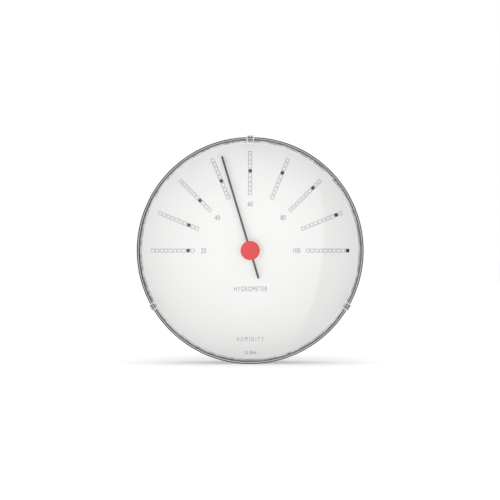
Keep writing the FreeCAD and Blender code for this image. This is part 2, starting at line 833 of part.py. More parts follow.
stack("sector_arbor", SECTOR, [("arbor_radius", "crank_depth - 0.2", "plate_front + 0.2")])
sector_hub = stack("sector_hub", SECTOR, [("3.0", "gear_depth - 1.2", "gear_depth")])
drill(sector_hub, SECTOR, "arbor_radius + press_gap")


def arm(name, top, bottom, half_width):
    """A short flat lever between two spots, one under the other."""
    body = new_body(name)
    steps = ((top, half_width), (bottom, f"{half_width} * 0.8"))
    for spot, radius in steps:
        sketch = new_sketch(body, "XZ_Plane", "crank_depth")
        circles(sketch, spot, radius)
        pad(body, sketch, "1")
    sketch = new_sketch(body, "XZ_Plane", "crank_depth")
    (x, high), (_, low) = top[0], bottom[0]
    half = f"{half_width} * 0.8"
    corners = [(f"{x} - {half}", low), (f"{x} + {half}", low)]
    corners += [(f"{x} + {half}", high), (f"{x} - {half}", high)]
    outline(sketch, corners)
    pad(body, sketch, "1")
    return body


crank = arm("crank_arm", SECTOR, CRANK_PIN, "1.5")
drill(crank, SECTOR, "arbor_radius + press_gap")
drill(crank, CRANK_PIN, "0.45 + press_gap")
pin_steps = [
    ("0.8", "hair_depth - 1.3", "hair_depth - 0.9"),
    ("0.45", "hair_depth - 0.9", "crank_depth + 1"),
]
stack("crank_pin", CRANK_PIN, pin_steps)


def hair_end(name, spot, side):
    """A tab that hooks on a pin, with a tube that grips the hair. Side is 1 for a tube to the right."""
    body = new_body(name)
    x, z = spot[0]
    eye = new_sketch(body, "XZ_Plane", "hair_depth - 0.3")
    circles(eye, spot, "1.3")
    pad(body, eye, "0.6")
    tab = new_sketch(body, "XZ_Plane", "hair_depth - 0.3")
    ends = (f"{x} + {side} * 0.9", f"{x} + {side} * 3.2")
    if side < 0:
        ends = ends[::-1]
    corners = [(ends[0], f"{z} - 0.6"), (ends[1], f"{z} - 0.6")]
    corners += [(ends[1], f"{z} + 0.6"), (ends[0], f"{z} + 0.6")]
    outline(tab, corners)
    pad(body, tab, "0.6")
    start = f"{x} + 2.4" if side > 0 else f"{x} - 6.4"
    tube = new_sketch(body, "YZ_Plane", start)
    circles(tube, [("-hair_depth", z)], "0.8")
    pad(body, tube, "4")
    hole = new_sketch(body, "YZ_Plane", f"{start} - 1" if side < 0 else f"{start} + 1")
    circles(hole, [("-hair_depth", z)], "hair_radius + press_gap")
    pocket(body, hole, "4")
    drill(body, spot, "0.45 + arbor_play")
    return body


hair_end("hair_hook", CRANK_PIN, -1)
hair_end("anchor_tab", ANCHOR_PIN, 1)
hair = new_body("hair_bundle")
hair_sketch = new_sketch(hair, "YZ_Plane", "anchor_x + 3.5")
circles(hair_sketch, [("-hair_depth", "-crank_length")], "hair_radius")
pad(hair, hair_sketch, "sector_x - anchor_x - 7")

adjuster = stack(
    "adjuster_stud",
    ADJUSTER,
    [
        ("2.6", "flange_depth + 1.4", "flange_depth + 3.8"),
        ("1.5", "flange_depth + 3.8", "bridge_depth - 1.8"),
        ("2.2", "bridge_depth - 1.8", "bridge_depth - 0.3"),
        ("1.5", "bridge_depth - 0.3", "bridge_front + 1.2"),
    ],
)
slots(adjuster, ADJUSTER, "3", "0.4", "flange_depth", "2.6")
lever = arm("anchor_lever", ADJUSTER, ANCHOR_PIN, "2.6")
drill(lever, ADJUSTER, "1.5 + press_gap")
drill(lever, ANCHOR_PIN, "0.45 + press_gap")
stack("anchor_pin", ANCHOR_PIN, pin_steps)
keeper = stack("adjuster_clip", ADJUSTER, [("2.5", "bridge_front + 0.35", "bridge_front + 0.85")])
drill(keeper, ADJUSTER, "1.5 + press_gap")

# ---------------------------------------------------------------- checks and files

doc.recompute()
problems = []
for item in doc.Objects:
    if "Invalid" in item.State or "Error" in item.State:
        problems.append(f"{item.Name}: {item.State}")
    if item.TypeId == "PartDesign::Pocket":
        if abs(item.BaseFeature.Shape.Volume - item.Shape.Volume) < 1e-5:
            problems.append(f"{item.Name} cuts nothing")
for node in nodes:
    if node.Shape.isNull() or not node.Shape.isValid():
        problems.append(f"{node.Label}: no valid shape")
    elif not node.Shape.Solids:
        problems.append(f"{node.Label}: no solid")
if problems:
    raise RuntimeError("; ".join(problems))

os.makedirs("parts", exist_ok=True)
for node in nodes:
    node.Shape.exportStep(f"parts/{node.Label}.step")
    print(f"{node.Label}: {len(node.Shape.Solids)} solid(s), {node.Shape.Volume:.1f} mm3")
print(len(nodes), "nodes")
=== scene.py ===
import math

import bmesh
import bpy
from mathutils import Matrix, Vector


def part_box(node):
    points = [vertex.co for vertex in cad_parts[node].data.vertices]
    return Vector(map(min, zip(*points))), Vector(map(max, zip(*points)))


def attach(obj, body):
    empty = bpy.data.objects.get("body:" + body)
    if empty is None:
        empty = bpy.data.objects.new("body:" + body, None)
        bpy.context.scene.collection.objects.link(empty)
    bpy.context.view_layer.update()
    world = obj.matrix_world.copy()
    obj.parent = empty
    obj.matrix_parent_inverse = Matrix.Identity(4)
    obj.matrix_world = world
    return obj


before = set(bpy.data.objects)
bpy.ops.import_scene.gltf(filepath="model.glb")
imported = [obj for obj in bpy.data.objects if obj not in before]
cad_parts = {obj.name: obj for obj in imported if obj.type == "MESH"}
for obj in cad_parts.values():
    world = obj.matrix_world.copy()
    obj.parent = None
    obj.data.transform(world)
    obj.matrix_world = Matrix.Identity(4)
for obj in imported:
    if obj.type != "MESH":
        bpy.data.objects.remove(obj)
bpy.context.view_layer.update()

bl_info = {
    "name": "Dial Hygrometer",
    "version": (1, 0, 0),
    "blender": (4, 5, 0),
    "location": "3D View > Sidebar > Hygrometer",
    "description": "Printed dial, materials and stage for a wall-hung dial hygrometer",
    "category": "Object",
}

MM = 0.001

# The dial's printed face, the front of the case's rim, and the floor that the case stands on.
DIAL_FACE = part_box("dial_plate")[0].y
RIM_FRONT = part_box("case_shell")[0].y
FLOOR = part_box("case_shell")[0].z

# The print: columns of squares and numbers at angles in degrees, anticlockwise from the right, and words.
SCALE_START, SCALE_STEP, SCALE_COLUMNS = 180.0, 22.5, 9
NUMBERS = {"20": 180.0, "40": 135.0, "60": 90.0, "80": 45.0, "100": 0.0}
NUMBER_SQUEEZE, NUMBER_SPACING = 0.78, 1.05
INK_THICKNESS = 0.012 * MM
INK_WEIGHT = -0.012

# Name, text, height and width in millimetres, place across and up the dial, and the spacing and weight
# of the letters.
WORDS = (
    ("word_kind", "HYGROMETER", 2.5, 17.5, 0.3, -20.3, 1.15, INK_WEIGHT),
    ("word_quantity", "HUMIDITY", 2.2, 14.2, 0.0, -46.8, 1.7, INK_WEIGHT),
    ("word_unit", "% RH", 1.9, 5.5, 0.0, -54.0, 1.1, -0.01),
)

# Name, light and dark colour, roughness, fineness of the brush lines, share of bare metal, and the nodes
# made of it.
METALS = (
    (
        "turned brass", (0.74, 0.55, 0.24), (0.62, 0.44, 0.18), 0.24, 12000.0, 1.0,
        (
            "dial_feet", "dial_nuts", "bridge_pillars", "pointer_pinion", "hairspring_collet",
            "hairspring_stud", "sector_gear", "sector_hub", "crank_arm", "adjuster_stud", "anchor_lever",
        ),
    ),
    (
        "brass sheet", (0.72, 0.54, 0.26), (0.60, 0.44, 0.20), 0.34, 9000.0, 1.0,
        ("base_plate", "bridge_plate"),
    ),
    (
        "bearing bronze", (0.56, 0.36, 0.18), (0.46, 0.28, 0.13), 0.32, 12000.0, 1.0,
        (
            "pointer_front_bush", "pointer_rear_bush", "sector_front_bush", "sector_rear_bush",
            "adjuster_bush", "hairspring",
        ),
    ),
    (
        "ground steel", (0.60, 0.60, 0.60), (0.48, 0.48, 0.48), 0.22, 12000.0, 1.0,
        (
            "stop_pins", "pointer_arbor", "sector_arbor", "crank_pin", "anchor_pin", "adjuster_clip",
            "hair_hook", "anchor_tab",
        ),
    ),
    (
        "zinc plate", (0.66, 0.66, 0.64), (0.54, 0.54, 0.52), 0.26, 5000.0, 0.75,
        ("cover_screws", "hanger_plate", "bridge_screws"),
    ),
    ("bright nickel", (0.92, 0.92, 0.90), (0.84, 0.84, 0.82), 0.3, 5000.0, 1.0, ("clip_screws",)),
    ("rivet aluminium", (0.74, 0.74, 0.74), (0.62, 0.62, 0.62), 0.36, 5000.0, 0.6, ("hanger_rivets",)),
)
CASE_LIGHT, CASE_DARK = (0.74, 0.74, 0.73), (0.64, 0.64, 0.63)
CASE_GRAIN, CASE_BARE = 7000.0, 0.5

# The polished lip: how far it goes back from the rim's front, how soft its end is, and how dull it is.
LIP_HEIGHT, LIP_BLEND, LIP_ROUGHNESS = 0.62 * MM, 0.05 * MM, 0.08

# The glass: its tint, the tint of its edge, where it starts to grey and how far on it is before the edge. The
# broad greying is painted shade that darkens the dial towards the rim; only the narrow edge is the glass's
# own ground edge tint.
GLASS_TINT, GLASS_EDGE_AND_SHADE_TINT = (0.995, 0.995, 0.994), (0.936, 0.941, 0.938)
GLASS_PAINTED_SHADE_START, GLASS_PAINTED_SHADE_SHARE = 25 * MM, 0.3
GLASS_ROUGHNESS, GLASS_HEAD_ON = 0.015, 0.04

# The clips: their tint, and the tint and white of their edges, which are painted shade and a painted
# highlight along their edges.
CLIP_TINT, CLIP_EDGE_SHADE_TINT = (0.98, 0.98, 0.98), (0.86, 0.87, 0.87)
CLIP_ROUGHNESS, CLIP_HEAD_ON, CLIP_PAINTED_HIGHLIGHT = 0.05, 0.05, 0.75
# The white and the roughness of the painted highlight on the clips' edges.
PAINTED_HIGHLIGHT_WHITE, PAINTED_HIGHLIGHT_ROUGHNESS = (0.93, 0.94, 0.94, 1), 0.3

# The stage, in metres: the camera's place beside and above the pointer's axis, how far it sees, and half
# the floor's width.
CAMERA_SIDE, CAMERA_UP, CLIP_END = -0.0001, 0.0003, 50
FLOOR_REACH = 12

# The main card is a reach before the rim, and its corners are shares of that reach. Its right edge is curved.
CARD_REACH = 1.7
CARD_LEFT = ((-1.8, 1.6), (-1.8, -1.6))
CARD_RIGHT = (
    (0.37, -1.6), (0.54, -1.18), (0.63, -0.91), (0.71, -0.49), (0.77, 0.0), (0.88, 0.98), (0.95, 1.6),
)
CARD_FADE, CARD_NEAR, CARD_FAR = 0.25, 1.75, 2.9
# Square cards round the object, for the other sides: name, turn from the front in degrees, and width.
SIDE_CARDS = (("card_back", 180, 2.4), ("card_right", 114, 0.8), ("card_left", -114, 0.8))
SIDE_CARD_DISTANCE, SIDE_CARD_SHARE = 2.4, 0.6

# The soft lights: place, target and width.
OVERHEAD_LIGHT = ((0.0, 0.2, 1.25), (0.0, -0.02, 0.0), 1.5)
FRONT_LIGHT = ((-0.27, -0.45, -0.22), (0.0, 0.0, 0.0), 0.6)

# The floor's own glow, painted light that is weaker near the dial and so paints a darker shadow round the
# case: its strength near the dial and further off, and the distances between which it rises.
FLOOR_PAINTED_LIGHT, FLOOR_PAINTED_LIGHT_SPAN = (0.30, 0.46), (0.062, 0.12)


# ---------------------------------------------------------------- settings


class DialSettings(bpy.types.PropertyGroup):
    """Sizes and colours of the print on the dial."""

    square: bpy.props.FloatProperty(
        name="Square", description="Width of one square of the scale",
        default=1.88 * MM, min=0.5 * MM, max=4 * MM, unit="LENGTH", precision=5,
    )
    line: bpy.props.FloatProperty(
        name="Line", description="Width of a square's outline",
        default=0.24 * MM, min=0.05 * MM, max=0.6 * MM, unit="LENGTH", precision=5,
    )
    inner_radius: bpy.props.FloatProperty(
        name="Inner radius", description="Distance of the innermost squares from the axis",
        default=30.5 * MM, min=10 * MM, max=50 * MM, unit="LENGTH", precision=5,
    )
    outer_radius: bpy.props.FloatProperty(
        name="Outer radius", description="Distance of the outermost squares from the axis",
        default=51.6 * MM, min=20 * MM, max=57 * MM, unit="LENGTH", precision=5,
    )
    squares: bpy.props.IntProperty(
        name="Squares", description="Number of squares in each column",
        default=10, min=2, max=20,
    )
    number_height: bpy.props.FloatProperty(
        name="Number height", description="Height of the numbers",
        default=2.45 * MM, min=1 * MM, max=6 * MM, unit="LENGTH", precision=5,
    )
    number_radius: bpy.props.FloatProperty(
        name="Number radius", description="Distance of the numbers from the axis",
        default=24.7 * MM, min=5 * MM, max=30 * MM, unit="LENGTH", precision=5,
    )
    ink: bpy.props.FloatVectorProperty(
        name="Ink", description="Colour of the filled squares", subtype="COLOR",
        size=3, default=(0.012, 0.012, 0.013), min=0, max=1,
    )
    grey_ink: bpy.props.FloatVectorProperty(
        name="Grey ink", description="Colour of the outlines, numbers and words", subtype="COLOR",
        size=3, default=(0.022, 0.022, 0.024), min=0, max=1,
    )
    lacquer: bpy.props.FloatVectorProperty(
        name="Lacquer", description="Colour of the dial", subtype="COLOR",
        size=3, default=(0.905, 0.9, 0.892), min=0, max=1,
    )


class MaterialSettings(bpy.types.PropertyGroup):
    """Colours and finishes of the pieces."""

    case_roughness: bpy.props.FloatProperty(
        name="Case roughness", description="How dull the brushed case is",
        default=0.32, min=0.02, max=0.8, subtype="FACTOR",
    )
    lip: bpy.props.FloatVectorProperty(
        name="Lip", description="Colour of the case's polished lip", subtype="COLOR",
        size=3, default=(0.5, 0.5, 0.5), min=0, max=1,
    )
    cap: bpy.props.FloatVectorProperty(
        name="Cap", description="Colour of the cap on the pointer's hub", subtype="COLOR",
        size=3, default=(0.80, 0.014, 0.013), min=0, max=1,
    )
    boss: bpy.props.FloatVectorProperty(
        name="Disc", description="Colour of the disc under the pointer", subtype="COLOR",
        size=3, default=(0.97, 0.95, 0.93), min=0, max=1,
    )
    pointer: bpy.props.FloatVectorProperty(
        name="Pointer", description="Colour of the pointer", subtype="COLOR",
        size=3, default=(0.03, 0.03, 0.03), min=0, max=1,
    )
    cover: bpy.props.FloatVectorProperty(
        name="Cover", description="Colour of the back cover", subtype="COLOR",
        size=3, default=(0.028, 0.028, 0.03), min=0, max=1,
    )


class StageSettings(bpy.types.PropertyGroup):
    """The camera and the light."""

    distance: bpy.props.FloatProperty(
        name="Distance", description="From the camera to the case's rim",
        default=1.05, min=0.3, max=4, unit="LENGTH",
    )
    field: bpy.props.FloatProperty(
        name="Field", description="Width that the picture covers at the rim",
        default=0.2643, min=0.1, max=1, unit="LENGTH",
    )
    overhead: bpy.props.FloatProperty(
        name="Overhead", description="Power of the light above",
        default=4.0, min=0, max=200, unit="POWER",
    )
    front: bpy.props.FloatProperty(
        name="Front", description="Power of the light before the dial",
        default=1.4, min=0, max=200, unit="POWER",
    )
    card: bpy.props.FloatProperty(
        name="Card", description="Brightness of the card that the glass reflects",
        default=1.35, min=0, max=20,
    )
    ambient: bpy.props.FloatProperty(
        name="Ambient", description="Brightness of the even light from all round",
        default=0.82, min=0, max=20,
    )
    surroundings: bpy.props.FloatProperty(
        name="Surroundings", description="Brightness of what shiny pieces mirror",
        default=0.07, min=0, max=20,
    )


# ---------------------------------------------------------------- helpers


def ink_plane(bm, name, material):
    """Give flat faces in the dial's plane the thickness of ink, and print them on the dial."""
    bmesh.ops.recalc_face_normals(bm, faces=bm.faces)
    for face in bm.faces:
        if face.normal.y > 0:
            face.normal_flip()
    raised = bmesh.ops.extrude_face_region(bm, geom=bm.faces[:])
    moved = [v for v in raised["geom"] if isinstance(v, bmesh.types.BMVert)]
    bmesh.ops.translate(bm, verts=moved, vec=(0, -INK_THICKNESS, 0))
    bmesh.ops.recalc_face_normals(bm, faces=bm.faces)
    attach(add_object(bm, name, material), "case")


def add_object(bm, name, material):
    """Make an object of a bmesh, with a material."""
    mesh = bpy.data.meshes.new(name)
    bm.to_mesh(mesh)
    bm.free()
    mesh.materials.append(material)
    piece = bpy.data.objects.new(name, mesh)
    bpy.context.scene.collection.objects.link(piece)
    return piece


def on_dial(radius, degrees):
    """A place on the dial, anticlockwise from the right."""
    angle = math.radians(degrees)
    return Vector((radius * math.cos(angle), DIAL_FACE, radius * math.sin(angle)))


# ---------------------------------------------------------------- materials


def empty_material(name):
    """A material with nothing but its output."""
    material = bpy.data.materials.new(name)
    material.use_nodes = True
    tree = material.node_tree
    tree.nodes.clear()
    return material, tree, tree.nodes.new("ShaderNodeOutputMaterial")


def new_material(name):
    """A material with its output and one Principled shader."""
    material, tree, output = empty_material(name)
    shader = tree.nodes.new("ShaderNodeBsdfPrincipled")
    tree.links.new(shader.outputs["BSDF"], output.inputs["Surface"])
    return material, tree, shader


def noise(tree, scale, detail=3.0, stretch=(1, 1, 1), vector=None):
    """A noise in the object's own coordinates, or in those given, stretched by a Mapping node."""
    if vector is None:
        vector = tree.nodes.new("ShaderNodeTexCoord").outputs["Object"]
    mapping = tree.nodes.new("ShaderNodeMapping")
    mapping.inputs["Scale"].default_value = stretch
    texture = tree.nodes.new("ShaderNodeTexNoise")
    texture.inputs["Scale"].default_value = scale
    texture.inputs["Detail"].default_value = detail
    tree.links.new(vector, mapping.inputs["Vector"])
    tree.links.new(mapping.outputs["Vector"], texture.inputs["Vector"])
    return texture.outputs["Fac"]


def ramp(tree, factor, low, high, start=0.3, end=0.7):
    """A colour between two, over a stretch of the factor."""
    node = tree.nodes.new("ShaderNodeValToRGB")
    node.color_ramp.elements[0].position = start
    node.color_ramp.elements[1].position = end
    node.color_ramp.elements[0].color = (*low, 1)
    node.color_ramp.elements[1].color = (*high, 1)
    tree.links.new(factor, node.inputs["Fac"])
    return node.outputs["Color"]


def span(tree, factor, low, high, start=0.3, end=0.7):
    """A number between two, over a stretch of the factor."""
    node = tree.nodes.new("ShaderNodeMapRange")
    node.inputs["From Min"].default_value = start
    node.inputs["From Max"].default_value = end
    node.inputs["To Min"].default_value = low
    node.inputs["To Max"].default_value = high
    tree.links.new(factor, node.inputs["Value"])
    return node.outputs["Result"]


def bump(tree, shader, height, distance, strength=1.0):
    """Raise the surface by a height."""
    node = tree.nodes.new("ShaderNodeBump")
    node.inputs["Distance"].default_value = distance
    node.inputs["Strength"].default_value = strength
    tree.links.new(height, node.inputs["Height"])
    tree.links.new(node.outputs["Normal"], shader.inputs["Normal"])


def around_axis(tree, seamless=False):
    """Radius, depth and angle round the pointer's axis, or the angle's sine, which has no jump."""
    links = tree.links
    coordinates = tree.nodes.new("ShaderNodeTexCoord")
    split = tree.nodes.new("ShaderNodeSeparateXYZ")
    links.new(coordinates.outputs["Object"], split.inputs["Vector"])
    flat = tree.nodes.new("ShaderNodeCombineXYZ")
    links.new(split.outputs["X"], flat.inputs["X"])
    links.new(split.outputs["Z"], flat.inputs["Z"])
    length = tree.nodes.new("ShaderNodeVectorMath")
    length.operation = "LENGTH"
    links.new(flat.outputs["Vector"], length.inputs[0])
    angle = tree.nodes.new("ShaderNodeMath")
    angle.operation = "ARCTAN2"
    links.new(split.outputs["Z"], angle.inputs[0])
    links.new(split.outputs["X"], angle.inputs[1])
    joined = tree.nodes.new("ShaderNodeCombineXYZ")
    links.new(length.outputs["Value"], joined.inputs["X"])
    links.new(split.outputs["Y"], joined.inputs["Y"])
    turn = angle.outputs["Value"]
    if seamless:
        turn = math_chain(tree, (("SINE", turn, None),))
    links.new(turn, joined.inputs["Z"])
    return joined.outputs["Vector"]


def brushed_metal(name, light, dark, roughness, grain, bare, turned=False):
    """Metal with fine brush lines along X, or round the axis where it is turned.

    Bare is its share of bare metal.
    """
    material, tree, shader = new_material(name)
    shader.inputs["Metallic"].default_value = bare
    if turned:
        place = around_axis(tree, seamless=True)
        fine = noise(tree, grain, 2.0, (1, 1, 0.00005), place)
        broad = noise(tree, 60, 3.0, (1, 1, 0.05), place)
    else:
        fine = noise(tree, grain, 2.0, (0.01, 1, 1))
        broad = noise(tree, 90, 3.0)
    tree.links.new(ramp(tree, broad, dark, light, 0.25, 0.65), shader.inputs["Base Color"])
    tree.links.new(span(tree, fine, roughness * 0.75, roughness * 1.3), shader.inputs["Roughness"])
    bump(tree, shader, fine, 0.0015 * MM, 0.6)
    return material


def polish_lip(material, colour):
    """Give the front of the turned case a darker and polished lip of bare metal."""
    tree = material.node_tree
    shader = next(node for node in tree.nodes if node.bl_idname == "ShaderNodeBsdfPrincipled")
    split = tree.nodes.new("ShaderNodeSeparateXYZ")
    tree.links.new(around_axis(tree), split.inputs["Vector"])
    lip_back = RIM_FRONT + LIP_HEIGHT
    behind = span(tree, split.outputs["Y"], 0.0, 1.0, lip_back, lip_back + LIP_BLEND)
    satin = shader.inputs["Metallic"].default_value
    tree.links.new(span(tree, behind, 1.0, satin, 0.0, 1.0), shader.inputs["Metallic"])
    # A Mix node's numbers are on inputs 2 and 3 and output 0, and its colours on inputs 6 and 7 and output 2.
    for socket, kind, polished, first, result in (
        ("Base Color", "RGBA", (*colour, 1), 6, 2),
        ("Roughness", "FLOAT", LIP_ROUGHNESS, 2, 0),
    ):
        brushed = shader.inputs[socket].links[0].from_socket
        mix = tree.nodes.new("ShaderNodeMix")
        mix.data_type = kind
        mix.inputs[first].default_value = polished
        tree.links.new(behind, mix.inputs[0])
        tree.links.new(brushed, mix.inputs[first + 1])
        tree.links.new(mix.outputs[result], shader.inputs[socket])


def shaded(colour, share):
    """A colour made darker or lighter."""
    return tuple(channel * share for channel in colour)


def plastic(name, light, dark, roughness, grain, depth, coat=0.0, gloss=0.5):
    """Moulded plastic with a fine grain."""
    material, tree, shader = new_material(name)
    broad = noise(tree, 140, 3.0)
    fine = noise(tree, grain, 2.0)
    tree.links.new(ramp(tree, broad, dark, light), shader.inputs["Base Color"])
    tree.links.new(span(tree, fine, roughness * 0.85, roughness * 1.15), shader.inputs["Roughness"])
    shader.inputs["Coat Weight"].default_value = coat
    shader.inputs["Coat Roughness"].default_value = 0.12
    shader.inputs["Specular IOR Level"].default_value = gloss
    bump(tree, shader, fine, depth, 0.5)
    return material


def printed(name, colour):
    """Screen-printed ink, a little uneven."""
    material, tree, shader = new_material(name)
    cover = noise(tree, 9000, 3.0)
    lighter = tuple(min(1.0, channel * 1.35 + 0.01) for channel in colour)
    tree.links.new(ramp(tree, cover, colour, lighter, 0.35, 0.8), shader.inputs["Base Color"])
    tree.links.new(span(tree, cover, 0.42, 0.6), shader.inputs["Roughness"])
    return material


def lacquered_dial(colour):
    """White satin lacquer with a faint orange peel."""
    material, tree, shader = new_material("dial lacquer")
    broad = noise(tree, 35, 4.0)
    peel = noise(tree, 2200, 2.0)
    tree.links.new(ramp(tree, broad, shaded(colour, 0.975), colour), shader.inputs["Base Color"])
    tree.links.new(span(tree, peel, 0.36, 0.46), shader.inputs["Roughness"])
    bump(tree, shader, peel, 0.006 * MM, 0.4)
    return material


def mirror_share(tree, head_on):
    """How much a clear wall mirrors: a little head on, and everything along the surface."""
    facing = tree.nodes.new("ShaderNodeLayerWeight")
    facing.inputs["Blend"].default_value = 0.5
    steep = tree.nodes.new("ShaderNodeMath")
    steep.operation = "POWER"
    steep.inputs[1].default_value = 5.0
    tree.links.new(facing.outputs["Facing"], steep.inputs[0])
    return span(tree, steep.outputs["Value"], head_on, 1.0, 0.0, 1.0)


def clear_surface(name, tint, edge_tint, edge, roughness, head_on):
    """A clear wall that passes what is behind it and mirrors what is before it.

    Edge makes the factor of its edge.
    """
    material, tree, output = empty_material(name)
    links = tree.links
    clear = tree.nodes.new("ShaderNodeBsdfTransparent")
    shine = tree.nodes.new("ShaderNodeBsdfGlossy")
    mix = tree.nodes.new("ShaderNodeMixShader")
    smudge = noise(tree, 45, 4.0)
    links.new(span(tree, smudge, roughness * 0.5, roughness * 1.6, 0.4, 0.75), shine.inputs["Roughness"])
    links.new(ramp(tree, edge(tree), tint, edge_tint, 0.0, 1.0), clear.inputs["Color"])
    links.new(mirror_share(tree, head_on), mix.inputs["Fac"])
    links.new(clear.outputs["BSDF"], mix.inputs[1])
    links.new(shine.outputs["BSDF"], mix.inputs[2])
    links.new(mix.outputs["Shader"], output.inputs["Surface"])
    return material


def beyond(radius, start, share):
    """An edge factor that rises from a start radius to a share at the radius, and close to it to 1. The broad
    rise is painted shade towards the rim, and the narrow rise is the ground edge.
    """

    def edge(tree):
        split = tree.nodes.new("ShaderNodeSeparateXYZ")
        tree.links.new(around_axis(tree), split.inputs["Vector"])
        # The broad rise paints shade on the dial towards the rim.
        broad = span(tree, split.outputs["X"], 0.0, share, start, radius)
        narrow = span(tree, split.outputs["X"], 0.0, 1.0, radius - 0.2 * MM, radius)
        return math_chain(tree, (("MAXIMUM", broad, narrow),))

    return edge


def along_clip(tip, half_width):
    """An edge factor for three clips, whose tongues end in a half circle at the tip's radius. It masks the
    painted shade and painted highlight on their edges.
    """

    def edge(tree):
        links = tree.links
        split = tree.nodes.new("ShaderNodeSeparateXYZ")
        links.new(around_axis(tree), split.inputs["Vector"])
        steps = (
            ("SUBTRACT", split.outputs["Z"], math.radians(90)),
            ("MULTIPLY", None, 3.0),
            ("SINE", None, None),
            ("MULTIPLY", None, split.outputs["X"]),
            ("MULTIPLY", None, 1 / 3),
        )
        sideways = math_chain(tree, steps)
        past_circle = ("SUBTRACT", split.outputs["X"], tip + half_width)
        inwards = math_chain(tree, (past_circle, ("MINIMUM", None, 0.0)))
        flat = tree.nodes.new("ShaderNodeCombineXYZ")
        links.new(sideways, flat.inputs["X"])
        links.new(inwards, flat.inputs["Y"])
        length = tree.nodes.new("ShaderNodeVectorMath")
        length.operation = "LENGTH"
        links.new(flat.outputs["Vector"], length.inputs[0])
        return span(tree, length.outputs["Value"], 0.0, 1.0, half_width - 0.5 * MM, half_width - 0.25 * MM)

    return edge


def math_chain(tree, steps):
    """The result of Math nodes in a row, each an operation and two inputs.

    None as the first input stands for the result before it, and as the second for no input.
    """
    result = None
    for operation, first, second in steps:
        node = tree.nodes.new("ShaderNodeMath")
        node.operation = operation
        tree.links.new(first or result, node.inputs[0])
        if isinstance(second, float):
            node.inputs[1].default_value = second
        elif second is not None:
            tree.links.new(second, node.inputs[1])
        result = node.outputs["Value"]
    return result


def paint_highlight(material, edge, share):
    """Mix a share of white, a painted highlight, into a clear material where the edge factor is 1."""
    tree = material.node_tree
    output = next(node for node in tree.nodes if node.bl_idname == "ShaderNodeOutputMaterial")
    clear = output.inputs["Surface"].links[0].from_socket
    white = tree.nodes.new("ShaderNodeBsdfPrincipled")
    white.inputs["Base Color"].default_value = PAINTED_HIGHLIGHT_WHITE
    white.inputs["Roughness"].default_value = PAINTED_HIGHLIGHT_ROUGHNESS
    mix = tree.nodes.new("ShaderNodeMixShader")
    tree.links.new(span(tree, edge(tree), 0.0, share, 0.0, 1.0), mix.inputs["Fac"])
    tree.links.new(clear, mix.inputs[1])
    tree.links.new(white.outputs["BSDF"], mix.inputs[2])
    tree.links.new(mix.outputs["Shader"], output.inputs["Surface"])


def fibre():
    """Fair hair, streaked along its length."""
    material, tree, shader = new_material("hair fibre")
    streak = noise(tree, 9000, 2.0, (0.01, 1, 1))
    tree.links.new(ramp(tree, streak, (0.20, 0.12, 0.05), (0.55, 0.38, 0.18)), shader.inputs["Base Color"])
    tree.links.new(span(tree, streak, 0.35, 0.55), shader.inputs["Roughness"])
    bump(tree, shader, streak, 0.02 * MM, 0.7)
    return material


def dress(material, *nodes):
    """Give CAD nodes a material, shade their curved faces smoothly and keep their corners sharp."""
    for node in nodes:
        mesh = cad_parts[node].data
        if not mesh.materials:
            mesh.materials.append(material)
        for index in range(len(mesh.materials)):
            mesh.materials[index] = material
        mesh.shade_smooth()
        mesh.set_sharp_from_angle(angle=math.radians(35.0))


# ---------------------------------------------------------------- operators


class HYGRO_OT_metal(bpy.types.Operator):
    """Finish the case, the plates, the arbors, the gears and the fasteners"""

    bl_idname = "hygrometer.metal"
    bl_label = "Metal pieces"

    def execute(self, context):
        settings = context.scene.hygrometer_materials
        roughness = settings.case_roughness
        case = brushed_metal(
            "brushed case", CASE_LIGHT, CASE_DARK, roughness, CASE_GRAIN, CASE_BARE, turned=True,
        )
        polish_lip(case, settings.lip)
        dress(case, "case_shell")
        for *finish, nodes in METALS:
            dress(brushed_metal(*finish), *nodes)
        return {"FINISHED"}


class HYGRO_OT_plastic(bpy.types.Operator):
    """Finish the back cover, the hub's disc and cap, the pointer, the gasket and the hair"""

    bl_idname = "hygrometer.plastic"
    bl_label = "Plastic, rubber and hair"

    def execute(self, context):
        settings = context.scene.hygrometer_materials
        cover = plastic("cover plastic", settings.cover, shaded(settings.cover, 0.7), 0.55, 2600.0, 0.05 * MM)
        cap = plastic(
            "cap plastic", settings.cap, shaded(settings.cap, 0.9), 0.5, 5000.0, 0.008 * MM, gloss=0.15,
        )
        disc_shade, pointer_shade = shaded(settings.boss, 0.96), shaded(settings.pointer, 0.7)
        disc = plastic("disc plastic", settings.boss, disc_shade, 0.35, 5000.0, 0.006 * MM, coat=0.3)
        pointer = plastic("pointer lacquer", settings.pointer, pointer_shade, 0.45, 5000.0, 0.006 * MM)
        gasket = plastic("gasket rubber", (0.88, 0.88, 0.87), (0.80, 0.80, 0.79), 0.7, 3000.0, 0.02 * MM)
        dress(cover, "back_cover")
        dress(cap, "pointer_cap")
        dress(disc, "pointer_boss")
        dress(pointer, "pointer_needle")
        dress(gasket, "glass_gasket")
        dress(fibre(), "hair_bundle")
        return {"FINISHED"}


